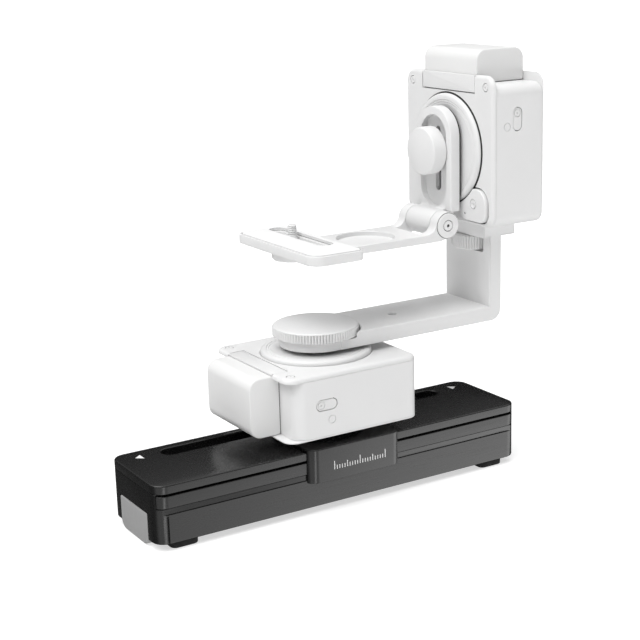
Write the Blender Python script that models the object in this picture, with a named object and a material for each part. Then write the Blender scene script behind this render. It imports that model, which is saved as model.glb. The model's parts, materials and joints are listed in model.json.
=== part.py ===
"""Motorised camera slider with a pan head, an L-bracket, a tilt head and a folding camera plate.

Lengths are in millimetres in the constants and in metres in the scene. X runs along the slider,
-Y is the front of the slider and Z is up. The root empty puts the origin under the middle of
the whole outline.
"""
import math

import bmesh
import bpy
from mathutils import Matrix, Vector

MM = 0.001
GAP = 0.3            # clearance between touching pieces
SEG = 36             # facets of large turned pieces
SMALL_SEG = 16       # facets of small turned pieces

# slider base
BASE_L, BASE_W, BASE_R = 270.0, 65.5, 8.7
BODY_Z0, BODY_Z1 = 4.6, 36.2
PLATE_Z0, PLATE_Z1 = 36.5, 42.0
SLOT_HALF, SLOT_W, SLOT_Y = 105.5, 13.0, 20.0
RAIL_Z0, RAIL_Z1, RAIL_T = 27.4, 35.0, 4.0
GROOVE_Z0, GROOVE_D = 23.2, 0.8
CAVITY_END, CAVITY_Y, CAVITY_Z = 127.0, 26.3, 8.0
RAIL_END = 133.0
FOOT_X, FOOT_Y, FOOT_L, FOOT_W, FOOT_H = 115.4, 25.0, 18.5, 11.0, 4.3

# battery pack, used three times
PACK_L, PACK_H, PACK_T = 56.8, 38.4, 21.0
PACK_OUT = 15.6      # how far a head's pack stands out past its lid
PACK_EDGE = 0.8
BAY = 0.4            # play round a pack

# drive inside the base
SCREW_Y, SCREW_Z, SCREW_R = 20.0, 28.0, 3.0
SCREW_TEETH, MOTOR_TEETH, MODULE, TOOTH = 16, 28, 0.675, 1.2
MOTOR_Y, MOTOR_Z, MOTOR_R = 6.3, 21.5, 8.6
GEAR_X0, GEAR_X1 = 121.0, 125.0

# carriage
CAR_X, CAR_L, CAR_Y = 2.5, 69.0, 37.4
CAR_Z0, CAR_Z1, CAR_TOP_T = 21.6, 44.0, 1.7

# pan and tilt heads: one unit, axis at the local origin on the face plane, battery at -X
AXIS_X, AXIS_Y = 2.3, 8.7
HEAD_BAT, HEAD_END, HEAD_Y, HEAD_D, HEAD_R = 49.5, 47.9, 47.5, 41.3, 8.0
LID_T, COVER_T, WALL, SIDE_WALL, FLOOR = 3.0, 1.0, 2.6, 4.0, 2.0
HEAD_FLOOR = HEAD_D - COVER_T - GAP                # depth of the body's underside
HEAD_BACK = HEAD_BAT - (PACK_T - PACK_OUT) - BAY   # the body stops here, behind the pack
DOOR_X, DOOR_T = 37.6, 1.3
PILL_X, PILL_Z, PILL_L, PILL_W, PILL_D = -21.5, -20.0, 15.5, 7.6, 2.4
DISC_R, DISC_Z1, HUB_R, HUB_Z1 = 36.1, 3.0, 22.8, 4.7
WHEEL_R, WHEEL_TEETH, WORM_R, WORM_Z = 22.0, 30, 4.2, -12.0
HEAD_MOTOR_R = 8.4
PAN_FACE_Z = 92.5
TILT_FACE_X, TILT_AXIS_Z = 108.7, 213.7

# L-bracket
ARM_HALF, ARM_T = 24.5, 10.0
BAR_Z0, BAR_START, SEAT_T, SEAT_R, COUNTER_R = 97.6, 4.0, 6.1, 24.3, 29.2
UP_X0, UP_X1, PLAT_X0, PLAT_X1 = 124.4, 134.4, 119.4, 145.7
PLAT_Z0, PLAT_Z1 = 155.0, 165.5
KNOB_R, KNOB_Z0, KNOB_Z1 = 28.0, 104.0, 110.4
THUMB_R, THUMB_Z0, THUMB_Z1 = 14.0, 144.6, 154.6

# camera arm, hinge and plate
CARM_X0, CARM_X1, CARM_HALF, CARM_TOP = 96.6, 103.7, 19.4, 222.8
CARM_Z0 = 174.8
POCKET_R, POCKET_X, POCKET_Z0 = 14.1, 100.7, 190.0
ARM_SLOT_R, ARM_SLOT_Z0, ARM_SLOT_Z1 = 2.9, 189.2, 226.0
AKNOB_R, AKNOB_X0 = 15.7, 86.0
HINGE_X, HINGE_Z, HINGE_R, HINGE_HALF, BARREL_HALF = 92.0, 166.7, 9.0, 21.7, 13.6
CP_Z0, CP_Z1, CP_Y0, CP_Y1 = 156.8, 162.2, -28.5, 73.0
CP_X0, CP_X1, CP_RIM = -20.0, 18.4, 163.0
CS_X, CS_Y, CS_SLOT_Y0, CS_SLOT_Y1, CS_SLOT_W = 7.2, 43.0, -1.0, 66.0, 7.6
CS_STEP_W, CS_STEP_D = 11.4, 1.2
PAD_T = 0.9
RECESS_X, RECESS_R, RECESS_D = 42.0, 19.5, 3.0

COLOURS = {
    "black_anodised": (0.035, 0.035, 0.037, 0.9, 0.38),
    "black_rubber": (0.02, 0.02, 0.02, 0.0, 0.85),
    "grey_plastic": (0.28, 0.28, 0.28, 0.0, 0.45),
    "white_painted": (0.82, 0.82, 0.82, 0.0, 0.42),
    "white_plastic": (0.8, 0.8, 0.79, 0.0, 0.5),
    "steel": (0.55, 0.55, 0.56, 1.0, 0.3),
    "brass": (0.72, 0.56, 0.28, 1.0, 0.35),
    "green_board": (0.03, 0.2, 0.09, 0.0, 0.5),
    "white_rubber": (0.75, 0.75, 0.74, 0.0, 0.8),
}


def clear_scene():
    for obj in list(bpy.data.objects):
        bpy.data.objects.remove(obj, do_unlink=True)


def material(node, kind):
    r, g, b, metal, rough = COLOURS[kind]
    mat = bpy.data.materials.new(node + "_" + kind)
    mat.use_nodes = True
    shader = mat.node_tree.nodes["Principled BSDF"]
    shader.inputs["Base Color"].default_value = (r, g, b, 1.0)
    shader.inputs["Metallic"].default_value = metal
    shader.inputs["Roughness"].default_value = rough
    return mat


def empty(name, at=(0, 0, 0), parent=None, rot=None):
    obj = bpy.data.objects.new(name, None)
    bpy.context.scene.collection.objects.link(obj)
    obj.empty_display_size = 0.01
    obj.parent = parent
    matrix = Matrix.Translation(Vector(at) * MM)
    obj.matrix_local = matrix @ rot.to_4x4() if rot else matrix
    return obj


# ---- solids as bmeshes, in millimetres -------------------------------------------------------

def prism(outline, lo, hi, axis="Z", bevel=0.0, steps=2, low_bevel=None):
    """A closed outline pushed along an axis, with its end edges bevelled inwards.

    low_bevel is the size at the low end where the two ends differ.
    """
    bm = bmesh.new()
    levels = [(lo, 0.0), (hi, 0.0)]
    if bevel:
        arc = [math.radians(90.0 * k / steps) for k in range(steps + 1)]
        small = bevel if low_bevel is None else low_bevel
        levels = [(lo + small * (1 - math.sin(a)), small * (1 - math.cos(a))) for a in arc[::-1]]
        levels += [(hi - bevel * (1 - math.sin(a)), bevel * (1 - math.cos(a))) for a in arc]
    rings = []
    for z, inset in levels:
        pts = inset_outline(outline, inset) if inset else outline
        rings.append([bm.verts.new(Vector((p[0], p[1], z))) for p in pts])
    count = len(outline)
    for low, high in zip(rings, rings[1:]):
        for k in range(count):
            n = (k + 1) % count
            bm.faces.new((low[k], low[n], high[n], high[k]))
    bm.faces.new(rings[0][::-1])
    bm.faces.new(rings[-1])
    turn = {"Z": Matrix.Identity(3),
            "Y": Matrix(((1, 0, 0), (0, 0, 1), (0, 1, 0))),
            "X": Matrix(((0, 0, 1), (1, 0, 0), (0, 1, 0)))}[axis]
    bmesh.ops.transform(bm, matrix=turn.to_4x4(), verts=bm.verts)
    bmesh.ops.recalc_face_normals(bm, faces=bm.faces)
    return bm


def inset_outline(pts, d):
    """Move every side of a counter-clockwise outline inwards by d."""
    out = []
    n = len(pts)
    for k in range(n):
        a, b, c = (Vector(pts[(k + j) % n][:2]) for j in (-1, 0, 1))
        e1, e2 = (b - a).normalized(), (c - b).normalized()
        n1, n2 = Vector((-e1.y, e1.x)), Vector((-e2.y, e2.x))
        m = n1 + n2
        m = m / max(m.dot(n1), 0.2)
        out.append((b.x + m.x * d, b.y + m.y * d))
    return out


def rrect(x0, x1, y0, y1, r, steps=4):
    """Counter-clockwise rectangle with round corners; r is one radius or one per corner."""
    rs = [r] * 4 if isinstance(r, (int, float)) else list(r)
    corners = ((x1, y1, 0), (x0, y1, 90), (x0, y0, 180), (x1, y0, 270))
    pts = []
    for (cx, cy, start), rad in zip(corners, rs):
        if rad <= 0:
            pts.append((cx, cy))
            continue
        ox = cx - rad if cx == x1 else cx + rad
        oy = cy - rad if cy == y1 else cy + rad
        for k in range(steps + 1):
            a = math.radians(start + 90.0 * k / steps)
            pts.append((ox + rad * math.cos(a), oy + rad * math.sin(a)))
    return pts


def circle(cx, cy, r, seg=SEG):
    return [(cx + r * math.cos(2 * math.pi * k / seg), cy + r * math.sin(2 * math.pi * k / seg))
            for k in range(seg)]


def turned(profile, seg=SEG, axis="Z", centre=(0, 0, 0), ridge_from=None, ridge=0.0):
    """Turn a closed (radius, height) outline about an axis; radius 0 points become poles.

    Rings at ridge_from or wider are fluted: every second point is pulled in by ridge.
    """
    bm = bmesh.new()
    rings = []
    for r, z in profile:
        if r < 1e-6:
            rings.append([bm.verts.new((0, 0, z))])
        else:
            fluted = ridge_from is not None and r >= ridge_from
            ring = []
            for k in range(seg):
                rad, a = (r - ridge if fluted and k % 2 else r), 2 * math.pi * k / seg
                ring.append(bm.verts.new((rad * math.cos(a), rad * math.sin(a), z)))
            rings.append(ring)
    for a, b in zip(rings, rings[1:] + rings[:1]):
        if len(a) == 1 and len(b) == 1:
            continue
        for k in range(seg):
            n = (k + 1) % seg
            if len(a) == 1:
                bm.faces.new((a[0], b[k], b[n]))
            elif len(b) == 1:
                bm.faces.new((a[k], b[0], a[n]))
            else:
                bm.faces.new((a[k], b[k], b[n], a[n]))
    turn = {"Z": Matrix.Identity(3),
            "-Z": Matrix.Rotation(math.pi, 3, "X"),
            "X": Matrix.Rotation(math.pi / 2, 3, "Y"),
            "-X": Matrix.Rotation(-math.pi / 2, 3, "Y"),
            "Y": Matrix.Rotation(-math.pi / 2, 3, "X"),
            "-Y": Matrix.Rotation(math.pi / 2, 3, "X")}[axis]
    bmesh.ops.transform(bm, matrix=Matrix.Translation(Vector(centre)) @ turn.to_4x4(),
                        verts=bm.verts)
    bmesh.ops.recalc_face_normals(bm, faces=bm.faces)
    return bm


def box(x0, x1, y0, y1, z0, z1):
    return prism([(x1, y1), (x0, y1), (x0, y0), (x1, y0)], z0, z1)


def cyl(r, lo, hi, axis="Z", centre=(0, 0, 0), seg=SMALL_SEG):
    return turned([(0, lo), (r, lo), (r, hi), (0, hi)], seg, axis, centre)


def toothed(r, teeth, lo, hi, depth=TOOTH, axis="Z", phase=0.0):
    """A spur-toothed wheel. A gap is centred at 0.2 of a pitch and a tooth at 0.7."""
    outline = []
    for k in range(teeth):
        for part, rad in ((0.0, r - depth), (0.4, r - depth), (0.55, r), (0.85, r)):
            a = 2 * math.pi * (k + part + phase) / teeth
            outline.append((rad * math.cos(a), rad * math.sin(a)))
    return prism(outline, lo, hi, axis)


def mesh_object(bm, name, parent):
    mesh = bpy.data.meshes.new(name)
    bmesh.ops.scale(bm, vec=(MM, MM, MM), verts=bm.verts)
    bm.to_mesh(mesh)
    bm.free()
    obj = bpy.data.objects.new(name, mesh)
    bpy.context.scene.collection.objects.link(obj)
    obj.parent = parent
    return obj


def piece(name, bm, parent, kind, cut=(), add=()):
    """One named solid, with solids added to it and cut from it by exact Booleans."""
    obj = mesh_object(bm, name, parent)
    for operation, tools in (("UNION", add), ("DIFFERENCE", cut)):
        for k, tool in enumerate(tools):
            helper = mesh_object(tool, "%s_%s_%d" % (name, operation.lower(), k), parent)
            helper.hide_render = True
            helper.display_type = "WIRE"
            mod = obj.modifiers.new(helper.name, "BOOLEAN")
            mod.operation = operation
            mod.solver = "EXACT"
            mod.object = helper
    obj.data.materials.append(material(name, kind))
    obj.data.shade_smooth()
    obj.data.set_sharp_from_angle(angle=math.radians(28.0))
    return obj


# ---- slider base -----------------------------------------------------------------------------

def base_outline(inset=0.0):
    half_x, half_y = BASE_L / 2 - inset, BASE_W / 2 - inset
    return rrect(-half_x, half_x, -half_y, half_y, BASE_R - inset, 6)


def rail_outline(side):
    """A strip along one long side whose ends follow the base's round corners."""
    cx, cy = BASE_L / 2 - BASE_R, BASE_W / 2 - BASE_R
    last = math.acos((RAIL_END - cx) / BASE_R)
    arc = [math.pi / 2 + (last - math.pi / 2) * k / 4 for k in range(5)]
    right = [(cx + BASE_R * math.cos(a), side * (cy + BASE_R * math.sin(a))) for a in arc]
    inner = side * (BASE_W / 2 - RAIL_T)
    pts = [(-x, y) for x, y in right[::-1]] + right + [(RAIL_END, inner), (-RAIL_END, inner)]
    return pts if side < 0 else pts[::-1]


def build_base(root):
    half_y = BASE_W / 2
    inner = half_y - GROOVE_D
    strip_x = RAIL_END + GAP
    cuts = []
    for side in (-1, 1):
        lo, hi = sorted((side * inner, side * (half_y + 1)))
        cuts.append(box(-strip_x, strip_x, lo, hi, GROOVE_Z0, RAIL_Z0 - GAP))
        lo, hi = sorted((side * (half_y - RAIL_T - GAP), side * (half_y + 1)))
        cuts.append(box(-strip_x, strip_x, lo, hi, RAIL_Z0 - GAP, BODY_Z1 + 1))
    bay_y, bay_x = PACK_H / 2 + BAY, -BASE_L / 2 + PACK_L + BAY
    cuts.append(box(bay_x + 3.0, CAVITY_END, -CAVITY_Y, CAVITY_Y, CAVITY_Z, BODY_Z1 + 1))
    cuts.append(box(-CAVITY_END, bay_x + 4.0, -CAVITY_Y, CAVITY_Y, GROOVE_Z0 + 1, BODY_Z1 + 1))
    cuts.append(box(-BASE_L / 2 - 1, bay_x, -bay_y, bay_y, BODY_Z0 - 1, PACK_T + 0.6 + BAY))
    piece("base_housing", prism(base_outline(), BODY_Z0, BODY_Z1, bevel=0.8), root,
          "black_anodised", cut=cuts)
    for label, side in (("front", -1), ("rear", 1)):
        piece("guide_rail_" + label, prism(rail_outline(side), RAIL_Z0, RAIL_Z1), root,
              "black_anodised")
    slot = rrect(-SLOT_HALF, SLOT_HALF, SLOT_Y - SLOT_W / 2, SLOT_Y + SLOT_W / 2,
                 SLOT_W / 2 - 0.01, 6)
    piece("top_plate", prism(base_outline(), PLATE_Z0, PLATE_Z1, bevel=0.9), root,
          "black_anodised", cut=[prism(slot, PLATE_Z0 - 1, PLATE_Z1 + 1)])
    for k, (sx, sy) in enumerate(((-1, -1), (1, -1), (-1, 1), (1, 1)), 1):
        piece("rubber_foot_%d" % k,
              prism(rrect(sx * FOOT_X - FOOT_L / 2, sx * FOOT_X + FOOT_L / 2,
                          sy * FOOT_Y - FOOT_W / 2, sy * FOOT_Y + FOOT_W / 2, 4.0, 4),
                    0.0, FOOT_H, bevel=0.8), root, "black_rubber")
    board = [box(-60, 60, -22, -3, 9.5, 11.1), box(-20, -6, -16, -6, 11.1, 13.0),
             box(15, 40, -18, -8, 11.1, 12.6)]
    piece("base_control_board", board[0], root, "green_board", add=board[1:])


def pack(inner_x, y_half, z0, z1, outer_x, corner):
    """Battery pack with its outer long edges rounded; X runs outwards to outer_x."""
    x0, x1 = sorted((inner_x, outer_x))
    outer_low = outer_x < inner_x
    small = PACK_EDGE * 2
    radii = (small, corner, corner, small) if outer_low else (corner, small, small, corner)
    return prism(rrect(x0, x1, z0, z1, radii, 5), -y_half, y_half, "Y", bevel=PACK_EDGE)


def build_base_drive(root):
    slide = empty("base_battery_slide", (-BASE_L / 2, 0, PACK_T / 2), root)
    bat = prism(rrect(-PACK_H / 2, PACK_H / 2, 0.6 - PACK_T / 2, PACK_T / 2 + 0.6,
                      (PACK_EDGE * 2, PACK_EDGE * 2, 5.0, 5.0), 4), -0.4, PACK_L - 0.4, "X",
                bevel=PACK_EDGE)
    piece("base_battery", bat, slide, "grey_plastic")
    spin = empty("leadscrew_spin", (0, SCREW_Y, SCREW_Z), root)
    screw = turned([(0, -119), (SCREW_R - 0.8, -119), (SCREW_R - 0.8, -112), (SCREW_R, -111),
                    (SCREW_R, 108), (SCREW_R - 0.8, 109), (SCREW_R - 0.8, 125.5), (0, 125.5)],
                   SMALL_SEG, "X")
    piece("leadscrew", screw, spin, "steel")
    bore = SCREW_R - 0.8 + GAP
    turns = math.atan2(MOTOR_Z - SCREW_Z, MOTOR_Y - SCREW_Y) / (2 * math.pi)
    gear = toothed(SCREW_TEETH * MODULE / 2 + TOOTH / 2, SCREW_TEETH, GEAR_X0, GEAR_X1,
                   axis="X", phase=turns * SCREW_TEETH - 0.2)
    piece("leadscrew_gear", gear, spin, "brass",
          cut=[cyl(bore, GEAR_X0 - 1, GEAR_X1 + 1, "X")])
    for label, x in (("left", -118.5), ("right", 112.5)):
        piece("leadscrew_bearing_" + label,
              box(x, x + 5.0, SCREW_Y - 3.8, SCREW_Y + 3.8, GROOVE_Z0 + 1.3, BODY_Z1 - GAP),
              root, "grey_plastic", cut=[cyl(bore, x - 1, x + 6, "X", (0, SCREW_Y, SCREW_Z))])
    can = turned([(0, 97.5), (MOTOR_R, 97.5), (MOTOR_R, 119.5), (0, 119.5)], 28, "X",
                 (0, MOTOR_Y, MOTOR_Z))
    piece("drive_motor", can, root, "steel",
          cut=[cyl(1.6, 108, 120, "X", (0, MOTOR_Y, MOTOR_Z))])
    shaft = empty("motor_spin", (0, MOTOR_Y, MOTOR_Z), root)
    wheel = toothed(MOTOR_TEETH * MODULE / 2 + TOOTH / 2, MOTOR_TEETH, GEAR_X0, GEAR_X1,
                    axis="X", phase=(turns + 0.5) * MOTOR_TEETH - 0.7)
    piece("motor_gear", wheel, shaft, "brass", add=[cyl(1.3, 109, GEAR_X0 + 1, "X")])


def build_carriage(root):
    slide = empty("carriage_slide", (CAR_X, 0, CAR_Z1), root)
    half, in_y = CAR_L / 2, BASE_W / 2 + GAP
    top = PLATE_Z1 + GAP - CAR_Z1
    wrap = prism(rrect(-half, half, -CAR_Y, CAR_Y, 7.0, 5), CAR_Z0 - CAR_Z1, 0.0, bevel=0.7)
    tunnel = box(-half - 1, half + 1, -in_y, in_y, CAR_Z0 - CAR_Z1 - 1, top)
    piece("carriage", wrap, slide, "black_anodised", cut=[tunnel])
    piece("carriage_runner", box(-8, 8, SLOT_Y - 5.8, SLOT_Y + 5.8, 35.0 - CAR_Z1, top - GAP),
          slide, "grey_plastic")
    nut = box(-6, 6, SLOT_Y - 5.8, SLOT_Y + 5.8, 24.6 - CAR_Z1, 34.7 - CAR_Z1)
    piece("leadscrew_nut", nut, slide, "brass",
          cut=[cyl(SCREW_R + GAP, -7, 7, "X", (0, SCREW_Y, SCREW_Z - CAR_Z1), 24)])
    z0, z1 = GAP, PAN_FACE_Z - HEAD_D - GAP - CAR_Z1
    dx, dy = AXIS_X - CAR_X, AXIS_Y
    piece("head_adapter", turned([(0, z0), (29, z0), (30, z0 + 1), (30, z1 - 1), (29, z1),
                                  (0, z1)], SEG, "Z", (dx, dy, 0)), slide, "black_anodised",
          add=[cyl(4.6, z1 - 1, z1 + 2 * GAP + COVER_T + FLOOR - 0.2, "Z", (dx, dy, 0))])
    return slide


# ---- pan and tilt head unit ------------------------------------------------------------------

def head_outline(back=HEAD_BAT):
    return rrect(-back, HEAD_END, -HEAD_Y, HEAD_Y, HEAD_R)


def pill(side, grow, lo, hi):
    """Pill outline on the side face, from depth lo to depth hi below the surface."""
    half_l, half_w = PILL_L / 2 + grow, PILL_W / 2 + grow
    outline = rrect(PILL_X - half_l, PILL_X + half_l, PILL_Z - half_w, PILL_Z + half_w,
                    half_w - 0.01, 6)
    a, b = sorted((side * (HEAD_Y - lo), side * (HEAD_Y - hi)))
    return prism(outline, a, b, "Y")


def build_head(name, frame, screws_at):
    """The body, lid, covers, pack, buttons and drive of one head. Returns the turning empty."""
    deep = -HEAD_FLOOR
    cavity = prism(rrect(-HEAD_BACK + 4.0, HEAD_END - WALL, -HEAD_Y + SIDE_WALL,
                         HEAD_Y - SIDE_WALL, 4.0, 4), deep + FLOOR, 1.0)
    rear_hole = cyl(5.2, deep - 1, deep + FLOOR + 1)
    end_hole = cyl(5.2, HEAD_END - WALL - 1, HEAD_END + 1, "X", (0, 0, -HEAD_D / 2))
    pockets = [pill(s, 0.0, -1.0, PILL_D) for s in (-1, 1)]
    piece(name + "_body", prism(head_outline(HEAD_BACK), deep, -LID_T - GAP, bevel=0.5), frame,
          "white_painted", cut=[cavity, rear_hole, end_hole] + pockets)
    notch = box(-HEAD_BAT - 1, -DOOR_X, -PACK_L / 2 - BAY, PACK_L / 2 + BAY, -LID_T - 1, 1)
    spindle_hole = cyl(10.0, -LID_T - 1, 1, seg=32)
    ear = prism(rrect(23.5, 45.0, 15.0, 41.8, (6.0, 10.0, 8.0, 8.0), 5), -0.5, 2.2, bevel=0.6)
    ear_screw = turned([(0, 2.0), (3.2, 2.0), (3.2, 2.8), (2.6, 3.1), (0, 3.1)], 20, "Z",
                       (34.4, 29.5, 0))
    disc_room = cyl(DISC_R + 0.7, 0.0, 3.6, seg=48)
    shell = prism(head_outline(), -LID_T, 0.0, bevel=2.4, steps=3, low_bevel=0.4)
    piece(name + "_lid", shell, frame, "white_painted", add=[ear, ear_screw],
          cut=[notch, spindle_hole, disc_room])
    piece(name + "_battery_door",
          box(-HEAD_BAT + 0.2, -DOOR_X - GAP, -PACK_L / 2 - 0.1, PACK_L / 2 + 0.1, -DOOR_T, 0),
          frame, "white_painted")
    piece(name + "_rear_cover", prism(head_outline(), -HEAD_D, deep - GAP, bevel=0.3), frame,
          "white_painted", cut=[cyl(5.2, deep - 4, deep + 1)])
    slide = empty(name + "_battery_slide", (-HEAD_BAT, 0, 0), frame)
    piece(name + "_battery", pack(PACK_T - PACK_OUT, PACK_L / 2, deep, deep + PACK_H,
                                  -PACK_OUT, 7.5), slide, "white_plastic")
    for label, side in (("a", -1), ("b", 1)):
        press = empty("%s_button_%s_press" % (name, label), (0, 0, 0), frame)
        piece("%s_button_%s" % (name, label), pill(side, -GAP, 0.3, 1.5), press,
              "white_plastic")
    for k, (x, y) in enumerate(screws_at, 1):
        piece("%s_lid_screw_%d" % (name, k),
              turned([(0, GAP), (2.6, GAP), (2.6, 1.0), (2.0, 1.4), (0, 1.4)], 16, "Z",
                     (x, y, 0)), frame, "steel")
    board = [box(-36, 20, -40, 8, deep + 3, deep + 4.6),
             box(-20, -6, -30, -14, deep + 4.6, deep + 7)]
    piece(name + "_control_board", board[0], frame, "green_board", add=board[1:])
    worm_y = WHEEL_R + WORM_R + GAP
    piece(name + "_motor", cyl(HEAD_MOTOR_R, -38, -16, "X", (0, worm_y, WORM_Z), 24), frame,
          "steel", cut=[cyl(1.8, -20, -15, "X", (0, worm_y, WORM_Z))])
    worm = empty(name + "_worm_spin", (0, worm_y, WORM_Z), frame)
    profile = [(0, -18), (1.4, -18), (1.4, -9)]
    profile += [(WORM_R - (1.4 if k % 2 else 0.0), -9 + 2.25 * k) for k in range(9)]
    profile += [(1.4, 9), (1.4, 13), (0, 13)]
    piece(name + "_worm", turned(profile, 12, "X"), worm, "steel")
    turn = empty(name + "_turn", (0, 0, 0), frame)
    piece(name + "_turntable", turned([
        (0, -16.0), (9.0, -16.0), (9.0, GAP), (DISC_R, GAP), (DISC_R, 0.7),
        (DISC_R - 0.6, 2.0), (DISC_R - 2.2, DISC_Z1), (32.0, DISC_Z1), (31.4, 2.3),
        (HUB_R, 2.3), (HUB_R, HUB_Z1),
        (3.6, HUB_Z1), (3.6, -9.0), (0, -9.0)], 40), turn, "white_painted")
    piece(name + "_worm_wheel", toothed(WHEEL_R, WHEEL_TEETH, WORM_Z - 2.5, WORM_Z + 2.5), turn,
          "brass", cut=[cyl(9.0 + GAP, WORM_Z - 4, WORM_Z + 4, seg=32)])
    piece(name + "_bearing", turned([(10.0, -LID_T - 4.2), (15.0, -LID_T - 4.2),
                                     (15.0, -LID_T - GAP), (10.0, -LID_T - GAP)], 32), frame,
          "steel")
    return turn


# ---- L-bracket -------------------------------------------------------------------------------

def build_bracket(turn):
    """Everything carried by the pan turntable, in the pan axis frame."""
    base = PAN_FACE_Z

    def z(v):
        return v - base

    def x(v):
        return v - AXIS_X
    bar_top, r = BAR_Z0 + ARM_T, 8.0
    outline = [(BAR_START, z(bar_top)), (BAR_START, z(BAR_Z0))]
    for k in range(6):
        a = math.radians(-90 + 18 * k)
        outline.append((x(UP_X1) - r + r * math.cos(a), z(BAR_Z0) + r + r * math.sin(a)))
    outline += [(x(UP_X1), z(PLAT_Z0)), (x(PLAT_X1), z(PLAT_Z0)), (x(PLAT_X1), z(PLAT_Z1)),
                (x(PLAT_X0), z(PLAT_Z1)), (x(PLAT_X0), z(PLAT_Z0)), (x(UP_X0), z(PLAT_Z0)),
                (x(UP_X0), z(bar_top))]
    bracket = prism(outline, -ARM_HALF, ARM_HALF, "Y", bevel=0.7)
    low, high = z(BAR_Z0) + 0.05, z(BAR_Z0) + SEAT_T - 0.05
    seat = turned([(0, low), (SEAT_R - 0.6, low), (SEAT_R, low + 0.6), (SEAT_R, high - 0.6),
                   (SEAT_R - 0.6, high), (0, high)], 40)
    counter = cyl(COUNTER_R, z(BAR_Z0) + SEAT_T, z(bar_top) + 5, seg=48)
    window = prism(rrect(-17.7, 17.7, z(143.6), z(PLAT_Z0) + 0.01, (0, 0, 1.5, 1.5), 3),
                   x(UP_X0) - 1, x(UP_X1) + 1, "X")
    stud_hole = cyl(3.4, z(BAR_Z0) - 1, z(BAR_Z0) + SEAT_T + 1)
    dimple = cyl(3.4, z(bar_top) - 3, z(bar_top) + 1, "Z", (62.0 - AXIS_X, 0, 0))
    mid_x = (UP_X0 + UP_X1) / 2
    screw_hole = cyl(4.9, z(PLAT_Z0) - 1, z(PLAT_Z1) + 1, "Z", (x(mid_x), 0, 0))
    piece("l_bracket", bracket, turn, "white_painted", add=[seat],
          cut=[counter, window, stud_hole, dimple, screw_hole])
    knob = empty("pan_knob_spin", (0, 0, z(KNOB_Z0)), turn)
    high = KNOB_Z1 - KNOB_Z0
    piece("pan_knob", turned([
        (0, -SEAT_T - 8.0), (3.0, -SEAT_T - 8.0), (3.0, 0), (KNOB_R - 0.9, 0), (KNOB_R, 0.6),
        (KNOB_R, high - 1.0), (KNOB_R - 0.9, high - 0.3), (KNOB_R - 1.8, high),
        (KNOB_R - 6, high + 0.9), (0, high + 1.6)], 72,
        ridge_from=KNOB_R, ridge=0.7), knob, "white_painted")
    wheel = empty("thumb_wheel_spin", (x(mid_x), 0, z(THUMB_Z0)), turn)
    tall = THUMB_Z1 - THUMB_Z0
    reach = PLAT_Z1 + GAP + WALL - 0.4 - THUMB_Z0
    piece("thumb_wheel", turned([
        (0, 0), (THUMB_R - 1.0, 0), (THUMB_R, 0.8), (THUMB_R, tall - 0.8),
        (THUMB_R - 1.0, tall), (4.5, tall), (4.5, reach), (0, reach)], 40,
        ridge_from=THUMB_R, ridge=0.7), wheel, "white_painted")


# ---- camera arm and plate --------------------------------------------------------------------

def build_camera_arm(turn):
    """Turning local frame of the tilt head: local -X is up, local +Z is world -X."""
    slide = empty("camera_arm_slide", (0, 0, 0), turn)

    def u(v):
        return -(v - TILT_AXIS_Z)

    def n(v):
        return TILT_FACE_X - v
    outline = [(u(CARM_Z0), -CARM_HALF), (u(CARM_Z0), CARM_HALF)]
    top = [(u(CARM_TOP) - CARM_HALF * math.sin(math.radians(a)),
            CARM_HALF * math.cos(math.radians(a))) for a in range(0, 181, 10)]
    plate = prism(outline + top, n(CARM_X1), n(CARM_X0), bevel=0.8)
    pocket_out = rrect(u(CARM_TOP) - POCKET_R, u(POCKET_Z0) + POCKET_R, -POCKET_R, POCKET_R,
                       POCKET_R - 0.01, 9)
    pocket = prism(pocket_out, n(POCKET_X), n(CARM_X0) + 1)
    slot = prism(rrect(u(ARM_SLOT_Z1) - ARM_SLOT_R, u(ARM_SLOT_Z0) + ARM_SLOT_R, -ARM_SLOT_R,
                       ARM_SLOT_R, ARM_SLOT_R - 0.01, 5), n(CARM_X1) - 1, n(POCKET_X) + 1)
    # hinge barrel and tongue, outline in the local X-Z plane
    hx, hz = u(HINGE_Z), n(HINGE_X)
    barrel = [(hx + HINGE_R * math.cos(math.radians(a)), hz + HINGE_R * math.sin(math.radians(a)))
              for a in range(-60, 136, 15)]
    tongue = barrel + [(u(CARM_Z0) - 3, n(CARM_X0)), (u(CARM_Z0) - 3, n(CARM_X1)),
                       (u(170.5), n(CARM_X1))]
    barrel_solid = prism(tongue, -BARREL_HALF, BARREL_HALF, "Y")
    pin_hole = cyl(3.5, -BARREL_HALF - 1, BARREL_HALF + 1, "Y", (hx, 0, hz))
    piece("camera_arm", plate, slide, "white_painted", add=[barrel_solid],
          cut=[pocket, slot, pin_hole])
    knob = empty("arm_knob_spin", (0, 0, n(CARM_X0)), turn)
    face = CARM_X0 - AKNOB_X0
    body = turned([(0, GAP), (AKNOB_R - 0.5, GAP), (AKNOB_R, GAP + 0.5), (AKNOB_R, face - 1.2),
                   (AKNOB_R - 1.2, face), (0, face)], SEG)
    boss_deep = CARM_X0 - POCKET_X + GAP
    piece("arm_knob", body, knob, "white_painted",
          add=[cyl(10.0, boss_deep, 1.0, seg=32), cyl(2.5, -13.0, 1.0)])
    return slide, hx, hz


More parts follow.
